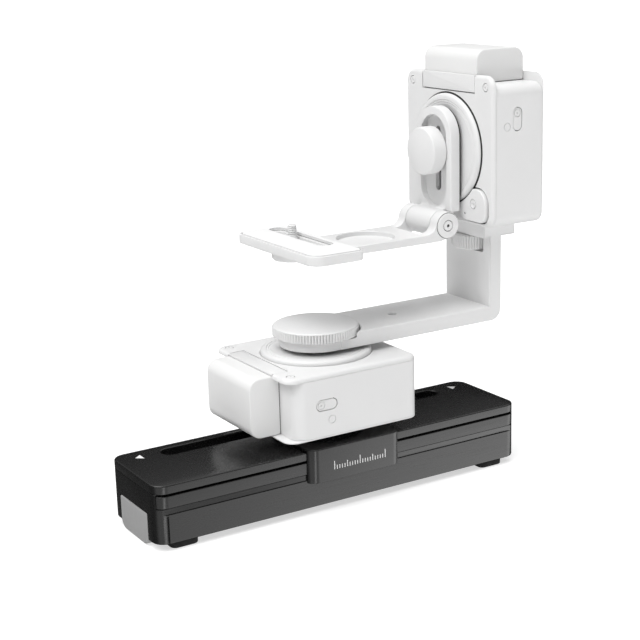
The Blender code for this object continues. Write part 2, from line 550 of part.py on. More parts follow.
def build_camera_plate(slide, hx, hz):
    """Plate in a world-aligned frame at the hinge: X runs to the plate's outer end as -X."""
    aligned = Matrix(((0, 0, -1), (0, -1, 0), (-1, 0, 0)))
    hinge = empty("camera_plate_hinge", (hx, 0, hz), slide, rot=aligned)

    def x(v):
        return v - HINGE_X

    def y(v):
        return v - AXIS_Y

    def z(v):
        return v - HINGE_Z
    wide = prism(rrect(x(CP_X0), x(CP_X1), y(CP_Y0), y(CP_Y1), (4.0, 9.0, 9.0, 3.5), 6),
                 z(CP_Z0), z(CP_RIM), bevel=0.7)
    neck_end = -HINGE_R - 2.2
    neck = prism([(x(CP_X1) - 0.6, HINGE_HALF), (x(CP_X1) - 0.6, -HINGE_HALF),
                  (neck_end, -HINGE_HALF), (neck_end, HINGE_HALF)], z(CP_Z0), z(CP_Z1))
    ears = []
    ear_out = [(HINGE_R * math.cos(math.radians(a)), HINGE_R * math.sin(math.radians(a)))
               for a in range(-90, 136, 15)]
    ear_out += [(neck_end - 3.0, z(CP_Z1)), (neck_end - 3.0, z(CP_Z0)), (-4.0, z(CP_Z0))]
    for side in (-1, 1):
        lo, hi = sorted((side * (BARREL_HALF + GAP), side * HINGE_HALF))
        ears.append(prism(ear_out, lo, hi, "Y"))

    def slot_cut(width, lo, hi):
        side, grow = width / 2, (width - CS_SLOT_W) / 2
        return prism(rrect(x(CS_X) - side, x(CS_X) + side, y(CS_SLOT_Y0) - grow,
                           y(CS_SLOT_Y1) + grow, side - 0.01, 6), z(lo), z(hi))
    recess = cyl(RECESS_R, z(CP_Z1) - RECESS_D, z(CP_Z1) + 1, "Z", (x(RECESS_X), 0, 0), 36)
    pin_hole = cyl(3.5, -HINGE_HALF - 1, HINGE_HALF + 1, "Y")
    pad_line = rrect(x(CP_X0) + 2, x(CP_X1) - 1.5, y(CP_Y0) + 2, y(CP_Y1) - 2,
                     (3.0, 7.5, 7.5, 2.8), 5)
    bed = prism(inset_outline(pad_line, -GAP), z(CP_Z1), z(CP_RIM) + 1)
    piece("camera_plate", wide, hinge, "white_painted", add=[neck] + ears,
          cut=[slot_cut(CS_SLOT_W, CP_Z0 - 1, CP_Z1 + 1),
               slot_cut(CS_STEP_W, CP_Z1 - CS_STEP_D, CP_Z1 + 1), bed, recess, pin_hole])
    piece("camera_pad", prism(pad_line, z(CP_Z1) + GAP, z(CP_Z1) + GAP + PAD_T), hinge,
          "white_rubber", cut=[slot_cut(CS_STEP_W, CP_Z1, CP_Z1 + 3)])
    piece("hinge_pin", turned([(0, -HINGE_HALF - 1.1), (6.4, -HINGE_HALF - 1.1),
                               (7.0, -HINGE_HALF - 0.7), (7.0, -HINGE_HALF - GAP),
                               (3.2, -HINGE_HALF - GAP), (3.2, HINGE_HALF + GAP),
                               (7.0, HINGE_HALF + GAP), (7.0, HINGE_HALF + 0.7),
                               (6.4, HINGE_HALF + 1.1), (0, HINGE_HALF + 1.1)], 20, "Y"),
          hinge, "steel")
    shift = empty("camera_screw_slide", (x(CS_X), y(CS_Y), z(CP_Z0)), hinge)
    spin = empty("camera_screw_spin", (0, 0, 0), shift)
    piece("camera_screw", turned([(0, -10.0), (12.4, -10.0), (13.9, -8.6), (13.9, -1.3),
                                  (12.9, -GAP), (3.15, -GAP), (3.15, 12.0), (2.6, 12.8),
                                  (0, 12.8)], 24), spin, "white_painted")


def main():
    clear_scene()
    front = AXIS_Y - HEAD_Y
    x_max = TILT_FACE_X + HEAD_D
    x_min = -BASE_L / 2 - 0.4
    root = empty("slider_root", (-(x_min + x_max) / 2, -(front + CP_Y1) / 2, 0))
    build_base(root)
    build_base_drive(root)
    slide = build_carriage(root)
    pan = empty("pan_frame", (AXIS_X - CAR_X, AXIS_Y, PAN_FACE_Z - CAR_Z1), slide)
    lid_corners = [(-42.3, 39.8), (-42.3, -39.8)]
    pan_turn = build_head("pan", pan, lid_corners)
    build_bracket(pan_turn)
    upright = Matrix(((0, 0, -1), (0, -1, 0), (-1, 0, 0)))
    tilt = empty("tilt_frame", (TILT_FACE_X - AXIS_X, 0, TILT_AXIS_Z - PAN_FACE_Z), pan_turn,
                 rot=upright)
    tilt_turn = build_head("tilt", tilt, lid_corners)
    build_camera_plate(*build_camera_arm(tilt_turn))


main()
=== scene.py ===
"""Looks for the camera slider: fine shapes, procedural materials, studio light and camera."""
import json
import math

import bmesh
import bpy
from mathutils import Matrix, Vector


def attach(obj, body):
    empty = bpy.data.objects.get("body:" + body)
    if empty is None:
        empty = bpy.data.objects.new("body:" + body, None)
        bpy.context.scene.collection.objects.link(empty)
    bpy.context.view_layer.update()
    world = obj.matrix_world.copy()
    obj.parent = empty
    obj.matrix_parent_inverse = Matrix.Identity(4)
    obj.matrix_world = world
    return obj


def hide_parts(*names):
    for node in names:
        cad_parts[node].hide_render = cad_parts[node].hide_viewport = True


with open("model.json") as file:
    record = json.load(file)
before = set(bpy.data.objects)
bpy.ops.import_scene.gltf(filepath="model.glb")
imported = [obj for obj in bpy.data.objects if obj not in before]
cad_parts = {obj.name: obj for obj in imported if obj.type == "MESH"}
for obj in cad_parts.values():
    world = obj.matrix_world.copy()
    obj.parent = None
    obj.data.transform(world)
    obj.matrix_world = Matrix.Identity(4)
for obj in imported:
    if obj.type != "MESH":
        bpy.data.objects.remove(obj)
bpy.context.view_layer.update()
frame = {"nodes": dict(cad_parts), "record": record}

MM = 0.001
SHIFT = Vector((-7.3, -17.1, 0.0))     # from the base's centre to the part's own origin
FINE = 128                             # steps round a large turned piece

# The same sizes as the CAD part, in millimetres from the base's centre
BASE_X, BASE_Y, BASE_ROUND = 135.0, 32.75, 8.7            # half sizes and corner radius
BASE_TOP, PLATE_LOW, PLATE_TOP = 36.2, 36.5, 42.0
RAIL_END, RAIL_LOW, RAIL_TOP, RAIL_IN = 133.0, 27.4, 35.0, 28.75
SLOT_Y, SLOT_L, SLOT_W = 20.0, 211.0, 13.0
FOOT_X, FOOT_Y = 115.4, 25.0
PACK_L, PACK_W, PACK_OUT = 56.8, 38.4, 15.6
AXIS_X, AXIS_Y, PAN_Z, TILT_X, TILT_Z = 2.3, 8.7, 92.5, 108.7, 213.7
HEAD_BAT, HEAD_BACK, HEAD_END, HEAD_Y, HEAD_D = 49.5, 43.7, 47.9, 47.5, 41.3
DISC_R, HUB_R, HUB_Z = 36.1, 15.2, 4.7
PILL_X, PILL_Z, PILL_L, PILL_W = -21.5, -20.0, 15.5, 7.6
THUMB_X, THUMB_LOW, THUMB_TOP = 129.4, 144.6, 154.6
HINGE_X, HINGE_Z, HINGE_R, EAR_OUT = 92.0, 166.7, 9.0, 21.7
MOUNT_LOW, MOUNT_TOP, SCREW_X = 156.8, 162.2, 7.2         # the folding camera plate

UPRIGHT = Matrix(((0, 0, -1), (0, -1, 0), (-1, 0, 0))).to_4x4()
PAN = Matrix.Translation((AXIS_X, AXIS_Y, PAN_Z))
TILT = Matrix.Translation((TILT_X, AXIS_Y, TILT_Z)) @ UPRIGHT


# ---- outlines and solids, in millimetres ------------------------------------------------------

def rrect(x0, x1, y0, y1, r, steps=10):
    """Counter-clockwise rectangle with round corners, from the +X +Y corner."""
    rs = [r] * 4 if isinstance(r, (int, float)) else list(r)
    corners = ((x1, y1, 0), (x0, y1, 90), (x0, y0, 180), (x1, y0, 270))
    pts = []
    for (cx, cy, start), rad in zip(corners, rs):
        if rad <= 0:
            pts.append((cx, cy))
            continue
        ox = cx - rad if cx == x1 else cx + rad
        oy = cy - rad if cy == y1 else cy + rad
        for k in range(steps + 1):
            a = math.radians(start + 90.0 * k / steps)
            pts.append((ox + rad * math.cos(a), oy + rad * math.sin(a)))
    return pts


def circle(cx, cy, r, seg=64):
    return [(cx + r * math.cos(2 * math.pi * k / seg), cy + r * math.sin(2 * math.pi * k / seg))
            for k in range(seg)]


def pill(cx, cy, length, width, steps=16):
    return rrect(cx - length / 2, cx + length / 2, cy - width / 2, cy + width / 2,
                 width / 2 - 0.005, steps)


def inset(pts, d):
    """Every side of a counter-clockwise outline moved inwards by d."""
    out, n = [], len(pts)
    for k in range(n):
        a, b, c = (Vector(pts[(k + j) % n][:2]) for j in (-1, 0, 1))
        e1, e2 = (b - a).normalized(), (c - b).normalized()
        n1, n2 = Vector((-e1.y, e1.x)), Vector((-e2.y, e2.x))
        m = n1 + n2
        m = m / max(m.dot(n1), 0.2)
        out.append((b.x + m.x * d, b.y + m.y * d))
    return out


def edge_levels(z, r, steps, top):
    """(height, inset) pairs round an end edge, from the side wall to the end face."""
    if r == 0:
        return [(z, 0.0)]
    arc = [math.radians(90.0 * k / steps) for k in range(steps + 1)]
    sign = -1 if top else 1
    return [(z + sign * r * (1 - math.sin(a)), r * (1 - math.cos(a))) for a in arc]


# what carries an outline's (x, y, height) to the world for each axis a prism runs along
TURNS = {"Z": Matrix.Identity(3),
         "Y": Matrix(((1, 0, 0), (0, 0, 1), (0, 1, 0))),
         "X": Matrix(((0, 0, 1), (1, 0, 0), (0, 1, 0)))}


def close_rings(bm, rings):
    """Side walls between rings of the same length, and a face on each end."""
    n = len(rings[0])
    for a, b in zip(rings, rings[1:]):
        for k in range(n):
            m = (k + 1) % n
            bm.faces.new((a[k], a[m], b[m], b[k]))
    bm.faces.new(rings[0][::-1])
    bm.faces.new(rings[-1])
    bmesh.ops.recalc_face_normals(bm, faces=bm.faces)


def prism(outline, lo, hi, axis="Z", bevel=0.0, low=None, steps=4):
    """A closed outline pushed along an axis. bevel rounds the high end's edge, low the low end's."""
    bm = bmesh.new()
    low = bevel if low is None else low
    levels = edge_levels(lo, low, steps, False)[::-1] + edge_levels(hi, bevel, steps, True)
    rings = [[bm.verts.new((p[0], p[1], z)) for p in (inset(outline, d) if d else outline)]
             for z, d in levels]
    bmesh.ops.transform(bm, matrix=TURNS[axis].to_4x4(), verts=bm.verts)
    close_rings(bm, rings)
    return bm


def turned(profile, seg=FINE, axis="Z", centre=(0, 0, 0), flutes=0, depth=0.0, band=None):
    """A (radius, height) outline turned about an axis; radius 0 points become poles.

    Rings whose height is inside band carry the given number of round ribs.
    """
    bm = bmesh.new()
    rings = []
    for r, z in profile:
        if r < 1e-6:
            rings.append([bm.verts.new((0, 0, z))])
            continue
        wave = flutes and band[0] <= z <= band[1]
        loop = []
        for k in range(seg):
            a = 2 * math.pi * k / seg
            rad = r - (depth * (1.0 - abs(math.sin(flutes * a / 2))) ** 1.2 if wave else 0.0)
            loop.append(bm.verts.new((rad * math.cos(a), rad * math.sin(a), z)))
        rings.append(loop)
    for a, b in zip(rings, rings[1:] + rings[:1]):
        if len(a) == 1 and len(b) == 1:
            continue
        for k in range(seg):
            n = (k + 1) % seg
            if len(a) == 1:
                bm.faces.new((a[0], b[k], b[n]))
            elif len(b) == 1:
                bm.faces.new((a[k], b[0], a[n]))
            else:
                bm.faces.new((a[k], b[k], b[n], a[n]))
    turn = {"Z": Matrix.Identity(3),
            "X": Matrix.Rotation(math.pi / 2, 3, "Y"),
            "-X": Matrix.Rotation(-math.pi / 2, 3, "Y"),
            "Y": Matrix.Rotation(-math.pi / 2, 3, "X"),
            "-Y": Matrix.Rotation(math.pi / 2, 3, "X")}[axis]
    bmesh.ops.transform(bm, matrix=Matrix.Translation(Vector(centre)) @ turn.to_4x4(),
                        verts=bm.verts)
    bmesh.ops.recalc_face_normals(bm, faces=bm.faces)
    return bm


def box(x0, x1, y0, y1, z0, z1):
    return prism([(x1, y1), (x0, y1), (x0, y0), (x1, y0)], z0, z1)


def cyl(r, lo, hi, axis="Z", centre=(0, 0, 0), seg=48):
    return turned([(0, lo), (r, lo), (r, hi), (0, hi)], seg, axis, centre)


def ring(r_in, r_out, lo, hi, axis="Z", centre=(0, 0, 0), seg=64):
    """A plain ring: a thin insert, or a cutter for a round groove."""
    return turned([(r_in, lo), (r_out, lo), (r_out, hi), (r_in, hi)], seg, axis, centre)


def countersunk(r, lo, hi, lip, centre, seg=64):
    """An upright hole cutter whose mouth at hi flares by lip."""
    return turned([(0, lo), (r, lo), (r, hi - lip), (r + lip, hi), (r + lip, hi + 3), (0, hi + 3)],
                  seg, "Z", centre)


def flared(outline, lo, hi, lip):
    """A slot cutter whose mouth at hi flares by lip."""
    bm = bmesh.new()
    rings = [[bm.verts.new((p[0], p[1], z)) for p in inset(outline, -d)]
             for z, d in ((lo, 0.0), (hi - lip, 0.0), (hi, lip), (hi + 3, lip))]
    close_rings(bm, rings)
    return bm


def to_object(bm, name):
    mesh = bpy.data.meshes.new(name)
    bm.to_mesh(mesh)
    bm.free()
    obj = bpy.data.objects.new(name, mesh)
    bpy.context.scene.collection.objects.link(obj)
    return obj


def piece(name, bm, body, mat, at=Matrix.Identity(4), cut=(), add=(), hide=(), soft=0.0,
          sharp=32.0):
    """One visible piece: Booleans applied, edges softened, placed in the part's frame."""
    obj = to_object(bm, name)
    helpers = []
    for operation, tools in (("UNION", add), ("DIFFERENCE", cut)):
        for tool in tools:
            helper = to_object(tool, name + "_tool")
            mod = obj.modifiers.new("boolean", "BOOLEAN")
            mod.operation, mod.solver, mod.object = operation, "EXACT", helper
            helpers.append(helper)
    if helpers:
        graph = bpy.context.evaluated_depsgraph_get()
        mesh = bpy.data.meshes.new_from_object(obj.evaluated_get(graph))
        obj.modifiers.clear()
        old, obj.data = obj.data, mesh
        bpy.data.meshes.remove(old)
        for helper in helpers:
            data = helper.data
            bpy.data.objects.remove(helper)
            bpy.data.meshes.remove(data)
    obj.data.transform(Matrix.Scale(MM, 4) @ Matrix.Translation(SHIFT) @ at)
    if at.to_3x3().determinant() < 0:
        obj.data.flip_normals()
    obj.data.shade_smooth()
    obj.data.set_sharp_from_angle(angle=math.radians(sharp))
    if soft:
        mod = obj.modifiers.new("soft_edges", "BEVEL")
        mod.width, mod.segments = soft * MM, 3
        mod.limit_method, mod.angle_limit = "ANGLE", math.radians(40)
        mod.harden_normals = True
    obj.data.materials.clear()
    obj.data.materials.append(mat)
    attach(obj, body)
    if hide:
        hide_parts(*hide)
    return obj


# ---- materials --------------------------------------------------------------------------------

class Nodes:
    """Short names for building a material's nodes."""

    def __init__(self, name, base, rough, metal=0.0):
        self.mat = bpy.data.materials.new(name)
        self.mat.use_nodes = True
        self.tree = self.mat.node_tree
        self.shader = self.tree.nodes["Principled BSDF"]
        self.shader.inputs["Metallic"].default_value = metal
        self.shader.inputs["Roughness"].default_value = rough
        self.shader.inputs["Base Color"].default_value = (*base, 1.0)
        self.coord = self.add("ShaderNodeTexCoord").outputs["Object"]

    def add(self, kind):
        return self.tree.nodes.new(kind)

    def link(self, a, b):
        self.tree.links.new(a, b)

    def mapped(self, scale):
        node = self.add("ShaderNodeMapping")
        node.inputs["Scale"].default_value = scale
        self.link(self.coord, node.inputs["Vector"])
        return node.outputs["Vector"]

    def noise(self, scale, detail=3.0, vector=None):
        node = self.add("ShaderNodeTexNoise")
        node.inputs["Scale"].default_value = scale
        node.inputs["Detail"].default_value = detail
        self.link(vector or self.coord, node.inputs["Vector"])
        return node.outputs["Fac"]

    def cells(self, scale, feature="F1"):
        node = self.add("ShaderNodeTexVoronoi")
        node.feature = feature
        node.inputs["Scale"].default_value = scale
        self.link(self.coord, node.inputs["Vector"])
        return node.outputs["Distance"]

    def span(self, fac, lo, hi, start=0.3, end=0.7):
        """fac from start..end mapped to lo..hi."""
        node = self.add("ShaderNodeMapRange")
        for key, value in (("From Min", start), ("From Max", end), ("To Min", lo), ("To Max", hi)):
            node.inputs[key].default_value = value
        self.link(fac, node.inputs["Value"])
        return node.outputs["Result"]

    def tint(self, fac, dark, light, start=0.3, end=0.7):
        """Base colour from dark to light as fac goes from start to end."""
        node = self.add("ShaderNodeValToRGB")
        node.color_ramp.elements[0].position, node.color_ramp.elements[1].position = start, end
        node.color_ramp.elements[0].color = (*dark, 1.0)
        node.color_ramp.elements[1].color = (*light, 1.0)
        self.link(fac, node.inputs["Fac"])
        self.link(node.outputs["Color"], self.shader.inputs["Base Color"])

    def rough(self, fac, lo, hi, start=0.3, end=0.7):
        self.link(self.span(fac, lo, hi, start, end), self.shader.inputs["Roughness"])

    def bump(self, height, strength, distance, below=None):
        """Relief on the shader's normal; below is the output of a coarser or finer relief."""
        node = self.add("ShaderNodeBump")
        node.inputs["Strength"].default_value = strength
        node.inputs["Distance"].default_value = distance
        self.link(height, node.inputs["Height"])
        if below:
            self.link(below, node.inputs["Normal"])
        self.link(node.outputs["Normal"], self.shader.inputs["Normal"])
        return node.outputs["Normal"]

    def set(self, **values):
        for key, value in values.items():
            self.shader.inputs[key.replace("_", " ")].default_value = value


def grey(v):
    return (v, v, v)


def powder_coat(name, level):
    """White powder coat: fine orange peel, a dusting of gloss variation."""
    n = Nodes(name, grey(level), 0.42)
    n.tint(n.noise(30.0, 4.0), grey(level * 0.975), grey(level))
    n.rough(n.noise(420.0, 2.0), 0.36, 0.5)
    fine = n.bump(n.noise(2600.0, 2.0), 0.12, 0.00004)
    n.bump(n.noise(650.0, 2.0), 0.1, 0.00008, fine)
    n.set(Specular_IOR_Level=0.45, Coat_Weight=0.08, Coat_Roughness=0.25)
    return n.mat


def moulded(name, level, grain, warm=0.0):
    """Moulded plastic with a spark-eroded grain."""
    lo = (level * 0.97, level * 0.97, level * (0.97 - warm))
    hi = (level, level, level * (1.0 - warm))
    n = Nodes(name, hi, 0.5)
    n.tint(n.noise(22.0, 3.0), lo, hi)
    n.rough(n.noise(260.0, 3.0), 0.44, 0.58)
    n.bump(n.cells(grain, "SMOOTH_F1"), 0.14, 0.00006)
    n.set(Specular_IOR_Level=0.42)
    return n.mat


def anodised(name, lo, hi, rough, brush):
    """Black anodised aluminium: bead-blast sparkle over lines stretched where brush is small."""
    n = Nodes(name, grey(hi), rough)
    n.tint(n.noise(40.0, 4.0), grey(lo), grey(hi))
    lines = n.noise(900.0, 2.0, n.mapped(brush))
    n.rough(lines, rough - 0.05, rough + 0.06)
    grain = n.bump(n.noise(3000.0, 2.0), 0.05, 0.00002)
    n.bump(lines, 0.03, 0.00002, grain)
    n.set(Specular_IOR_Level=0.5)
    return n.mat


def rubber(name, level):
    """Moulded foot rubber, matt and slightly mottled."""
    n = Nodes(name, grey(level), 0.85)
    n.tint(n.noise(70.0, 4.0), grey(level * 0.8), grey(level * 1.1))
    n.bump(n.cells(1500.0), 0.25, 0.00008)
    n.rough(n.noise(300.0), 0.78, 0.92)
    n.set(Specular_IOR_Level=0.3)
    return n.mat


def ribbed_rubber(name, level):
    """Thin anti-slip mat: close ribs and a fine grain."""
    n = Nodes(name, grey(level), 0.8)
    n.tint(n.noise(60.0, 4.0), grey(level * 0.96), grey(level))
    wave = n.add("ShaderNodeTexWave")
    wave.bands_direction = "Y"
    wave.inputs["Scale"].default_value = 260.0
    n.link(n.coord, wave.inputs["Vector"])
    grain = n.bump(n.noise(2000.0), 0.15, 0.00005)
    n.bump(wave.outputs["Fac"], 0.12, 0.00008, grain)
    n.rough(n.noise(300.0), 0.72, 0.88)
    return n.mat


def metal(name, base, lo, hi):
    """Bare turned metal: fine grain, roughness between lo and hi."""
    n = Nodes(name, base, (lo + hi) / 2, 1.0)
    n.tint(n.noise(55.0, 4.0), tuple(c * 0.88 for c in base), base)
    grain = n.noise(1600.0, 2.0)
    n.rough(grain, lo, hi)
    n.bump(grain, 0.12, 0.00003)
    return n.mat


def board(name):
    """Solder mask with the faint relief of its tracks."""
    n = Nodes(name, (0.02, 0.14, 0.06), 0.4)
    n.tint(n.cells(500.0), (0.015, 0.11, 0.045), (0.03, 0.19, 0.08), 0.2, 0.6)
    n.bump(n.cells(350.0, "DISTANCE_TO_EDGE"), 0.3, 0.00006)
    n.rough(n.noise(200.0), 0.3, 0.5)
    return n.mat


def ink(name, level):
    """Printed mark with a little wear."""
    n = Nodes(name, grey(level), 0.5)
    n.tint(n.noise(900.0, 3.0), grey(level * 0.9), grey(level))
    n.rough(n.noise(700.0), 0.45, 0.6)
    n.bump(n.noise(2500.0), 0.1, 0.00002)
    return n.mat


SHELL = powder_coat("white_shell_paint", 0.75)
METAL_WHITE = powder_coat("white_powder_coat", 0.75)
PLASTIC_WHITE = moulded("white_moulded", 0.77, 2200.0, 0.004)
PLASTIC_GREY = moulded("grey_moulded", 0.30, 2000.0)
ANODISED_TOP = anodised("anodised_plate", 0.0085, 0.0105, 0.24, (1.0, 1.0, 1.0))
ANODISED = anodised("anodised_extrusion", 0.0075, 0.0095, 0.24, (0.03, 1.0, 1.0))
ANODISED_END = anodised("anodised_block", 0.008, 0.010, 0.22, (1.0, 1.0, 1.0))
FOOT_RUBBER = rubber("foot_rubber", 0.018)
MAT_RUBBER = ribbed_rubber("mat_rubber", 0.78)
STEEL = metal("turned_steel", (0.56, 0.56, 0.57), 0.24, 0.38)
BRASS = metal("machined_brass", (0.70, 0.52, 0.24), 0.25, 0.4)
BOARD = board("solder_mask")
WHITE_INK = ink("white_ink", 0.82)
# near-black material for thin pieces that paint shade into gaps, recesses and grooves (painted
# shade)
PAINTED_SHADE = moulded("painted_shade_black", 0.035, 1800.0)
BY_SLOT = {"black_anodised": ANODISED, "black_rubber": FOOT_RUBBER, "grey_plastic": PLASTIC_GREY,
           "white_shell": SHELL, "white_plastic": PLASTIC_WHITE, "white_metal": METAL_WHITE,
           "steel": STEEL, "brass": BRASS, "green_board": BOARD, "white_rubber": MAT_RUBBER}


# ---- slider base ------------------------------------------------------------------------------

def base_side_cut(side, x0, x1, inner, z0, z1):
    """A cutter on a long side of the base, from y = inner out past the face."""
    a, b = sorted((side * inner, side * (BASE_Y + 1.25)))
    return box(x0, x1, a, b, z0, z1)


def build_base():
    outline = rrect(-BASE_X, BASE_X, -BASE_Y, BASE_Y, BASE_ROUND, 14)
    gear_room = box(-75, 127, -26.3, 26.3, 8, 40)
    pack_roof = box(-127, -74, -26.3, 26.3, 24.2, 40)
    pack_bay = box(-BASE_X - 1, -77.8, -19.6, 19.6, 3.6, 22.0)
    cuts = [gear_room, pack_roof, pack_bay]
    cut_end = RAIL_END + 0.3
    for s in (-1, 1):
        cuts += [base_side_cut(s, -cut_end, cut_end, 31.95, 23.2, 27.0),     # groove
                 base_side_cut(s, -cut_end, cut_end, 28.45, 26.9, 40),       # step for the rail
                 base_side_cut(s, -128.0, -126.8, 31.2, 3, 22.4)]            # end cap's seam
    piece("base_housing_shell", prism(outline, 4.6, BASE_TOP, bevel=0.5, low=1.0), "base",
          ANODISED, cut=cuts, hide=["base_housing"], soft=0.22)
    build_rails()
    piece("top_plate_fine", prism(outline, PLATE_LOW, PLATE_TOP, bevel=0.9, low=0.4, steps=5),
          "base", ANODISED_TOP,
          cut=[flared(pill(0, SLOT_Y, SLOT_L, SLOT_W), 30, PLATE_TOP, 0.5)], hide=["top_plate"])
    for k, (sx, sy) in enumerate(((-1, -1), (1, -1), (-1, 1), (1, 1)), 1):
        x, y = sx * FOOT_X, sy * FOOT_Y
        piece("foot_pad_%d" % k,
              prism(rrect(x - 9.25, x + 9.25, y - 5.5, y + 5.5, 4.0), 0, 4.3, bevel=0.4, low=0.9),
              "base", FOOT_RUBBER, hide=["rubber_foot_%d" % k])
    for name, way in (("left", -1), ("right", 1)):
        x, y = way * 119.5, SLOT_Y + 1.0
        tip = [(x + way * 3.6, y), (x - way * 1.2, y + 3.6), (x - way * 1.2, y - 3.6)]
        piece("direction_mark_" + name, prism(tip[::way], PLATE_TOP - 0.1, PLATE_TOP + 0.03),
              "base", WHITE_INK)
    section = rrect(-PACK_W / 2, PACK_W / 2, 0.6, 21.6, (1.6, 1.6, 6.0, 6.0))
    piece("base_battery_case", prism(section, -78.6 - PACK_L, -78.6, "X", bevel=0.9),
          "base_pack", PLASTIC_GREY, hide=["base_battery"])


def build_rails():
    """Rails on the long sides, whose ends follow the base's round corners."""
    sweep = math.radians(50.4)
    corner = [math.pi / 2 - sweep * k / 8 for k in range(9)]
    right = [(BASE_X - BASE_ROUND * (1 - math.cos(a)), BASE_Y - BASE_ROUND * (1 - math.sin(a)))
             for a in corner]
    strip = [(-x, y) for x, y in right[::-1]] + right
    strip += [(RAIL_END, RAIL_IN), (-RAIL_END, RAIL_IN)]
    for label, s in (("front", -1), ("rear", 1)):
        outline = [(x, s * y) for x, y in strip][::-s]
        piece("rail_strip_" + label, prism(outline, RAIL_LOW, RAIL_TOP, bevel=0.3), "base",
              ANODISED, hide=["guide_rail_" + label])


def build_carriage():
    x0, x1, half, low, top = -32.0, 37.0, 37.4, 21.6, 44.0
    wrap = prism(rrect(x0, x1, -half, half, 7.0, 14), low, top, bevel=0.8, low=0.6)
    tunnel = box(x0 - 1, x1 + 1, -BASE_Y - 0.3, BASE_Y + 0.3, 10, PLATE_TOP + 0.3)
    piece("carriage_shell", wrap, "carriage_unit", ANODISED_END, cut=[tunnel],
          hide=["carriage"], soft=0.3)
    # generic tick scale on the front face
    for k in range(21):
        tall = 5.6 if k % 10 == 0 else (4.2 if k % 5 == 0 else 2.6)
        x = -14.0 + 1.9 * k
        piece("scale_tick_%02d" % k,
              box(x - 0.28, x + 0.28, -half - 0.03, -half + 0.05, 28.6, 28.6 + tall),
              "carriage_unit", WHITE_INK)
    rim, edge, seat, head = 30.0, 1.0, top + 0.3, 50.9
    piece("mount_platform", turned([
        (0, seat), (rim - edge, seat), (rim, seat + edge), (rim, head - edge), (rim - edge, head),
        (0, head)], FINE, "Z", (AXIS_X, AXIS_Y, 0)), "carriage_unit", ANODISED_END,
        hide=["head_adapter"])


# ---- pan and tilt heads -----------------------------------------------------------------------

# A head is modelled with its lid's face at z = 0 and its turntable's axis on z.

def head_outline(back=HEAD_BAT):
    return rrect(-back, HEAD_END, -HEAD_Y, HEAD_Y, 8.0, 14)


def side_prism(outline, side, out, deep):
    """A cutter or piece on a side face, from out above the surface to deep below it."""
    a, b = sorted((side * (HEAD_Y + out), side * (HEAD_Y - deep)))
    return prism(outline, a, b, "Y")


def edge_arc(r, z, bevel, steps):
    """(radius, height) points round the outer top edge of a turned piece."""
    return [(r - bevel * (1 - math.cos(a)), z - bevel * (1 - math.sin(a)))
            for a in (math.radians(90.0 * k / steps) for k in range(steps + 1))]


def build_head_shell(name, body, at):
    """The casing's middle, with a button well and a round mark on each side; near-black sheets paint
    the shade in the wells and at the pack's end.
    """
    cuts = []
    well = pill(PILL_X, PILL_Z, PILL_L, PILL_W)
    for s in (-1, 1):
        cuts.append(side_prism(well, s, 1.0, 2.6))
        # near-black lining in the button well, painted shade
        piece("%s_pill_well_%d" % (name, s > 0), side_prism(well, s, -2.5, 2.58), body, PAINTED_SHADE,
              at)
        mark = (-18.0, 0, -29.9) if s < 0 else (-17.0, 0, -11.5)
        a, b = sorted((s * (HEAD_Y - 0.4), s * (HEAD_Y + 1)))
        cuts.append(ring(2.25, 2.8, a, b, "Y", mark, 40))
    piece(name + "_shell", prism(head_outline(HEAD_BACK), -40.1, -3.1, bevel=0.15), body,
          SHELL, at, cut=cuts, hide=[name + "_body"])
    # near-black sheet at the pack's end, painted shade in the gap between pack and casing
    piece(name + "_pack_gap_shade", box(-44.15, -43.65, -27.6, 27.6, -39.2, -4.0), body, PAINTED_SHADE,
          at)


def build_head_lid(name, body, at, gap):
    """The lid, its pack door and screws; gap is the room round the turntable."""
    pad_line = rrect(23.5, 45.0, 15.0, 42.6, (6.0, 10.0, 8.0, 8.0), 12)
    screws = [(-42.3, 39.8), (-42.3, -39.8)]
    cuts = [box(-HEAD_BAT - 1, -37.6, -28.8, 28.8, -4, 1),
            cyl(DISC_R + gap, -1.6, 2, seg=FINE), cyl(10.0, -4, 1),
            prism(inset(pad_line, -1.0), -1.6, 1)]
    cuts += [cyl(2.85, -0.9, 2, centre=(x, y, 0)) for x, y in screws]
    piece(name + "_front_lid", prism(head_outline(), -3.0, 0.0, bevel=2.5, low=0.3, steps=6),
          body, SHELL, at, cut=cuts, hide=[name + "_lid"])
    # near-black sheet under the gap round the corner pad, painted shade
    piece(name + "_pad_gap_shade", prism(inset(pad_line, -0.9), -1.7, -1.5), body, PAINTED_SHADE,
          at, cut=[cyl(37.0, -3, 1, seg=FINE)])
    # near-black sheet under the door's gap, painted shade
    piece(name + "_door_gap_shade", box(-46.5, -37.5, -28.9, 28.9, -2.6, -1.9), body, PAINTED_SHADE,
          at)
    piece(name + "_pack_door",
          prism(rrect(-HEAD_BAT + 0.2, -38.2, -28.2, 28.2, 0.5, 3), -1.5, 0.0, bevel=0.55),
          body, SHELL, at, hide=[name + "_battery_door"])
    for k, (x, y) in enumerate(screws, 1):
        head = [(0, -0.8), (2.4, -0.8), (2.4, -0.2), (2.25, 0.0), (0.75, 0.0), (0.7, -0.6),
                (0, -0.6)]
        piece("%s_corner_screw_%d" % (name, k), turned(head, 48, "Z", (x, y, 0.0)), body,
              METAL_WHITE, at, hide=["%s_lid_screw_%d" % (name, k)])
        # near-black disc under each screw head, painted shade in the ring round it
        piece("%s_screw_well_%d" % (name, k), cyl(2.8, -0.95, -0.75, centre=(x, y, 0)), body,
              PAINTED_SHADE, at)
    build_corner_pad(name, body, at, pad_line)
    piece(name + "_back_plate", prism(head_outline(), -HEAD_D, -40.25, bevel=0.15, low=0.5), body,
          SHELL, at, hide=[name + "_rear_cover"])


